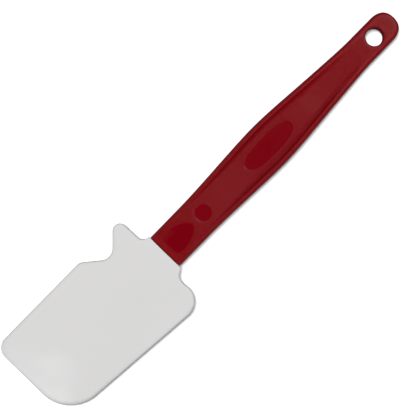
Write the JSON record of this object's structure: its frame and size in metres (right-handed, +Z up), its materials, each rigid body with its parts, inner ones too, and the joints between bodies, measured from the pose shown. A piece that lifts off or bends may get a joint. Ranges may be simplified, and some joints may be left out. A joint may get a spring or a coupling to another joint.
{
  "type": "heat-resistant spatula",
  "caption": "Kitchen scraper: a rigid ribbed handle with a hanging hole, and a soft flexible blade with a hooked notch, moulded round the handle's hidden tang.",
  "frame": {"origin": "under the middle of the spatula's outline, on the surface that it lies on", "axes": "+Y along the handle from the blade towards the hanging end, +X towards the blade's rounded shoulder, +Z up, out of the face with the recesses"},
  "size_m": [0.0544, 0.2414, 0.009],
  "materials": {
    "handle_red": "moulded, fine satin grain with polished shallow recesses",
    "blade_white": "smooth matte silicone"
  },
  "bodies": {
    "handle": {"handle": "handle_red", "blade_root": "blade_white"},
    "blade_tip": {"blade_tip": "blade_white"}
  },
  "joints": [
    {"name": "blade_flex", "type": "hinge", "parent": "handle", "child": "blade_tip", "pos_m": [-0.00168, -0.07901, 0.0045], "axis": [1, 0, 0], "range_deg": [-40, 40], "stiffness_Nm_per_rad": 0.35}
  ]
}
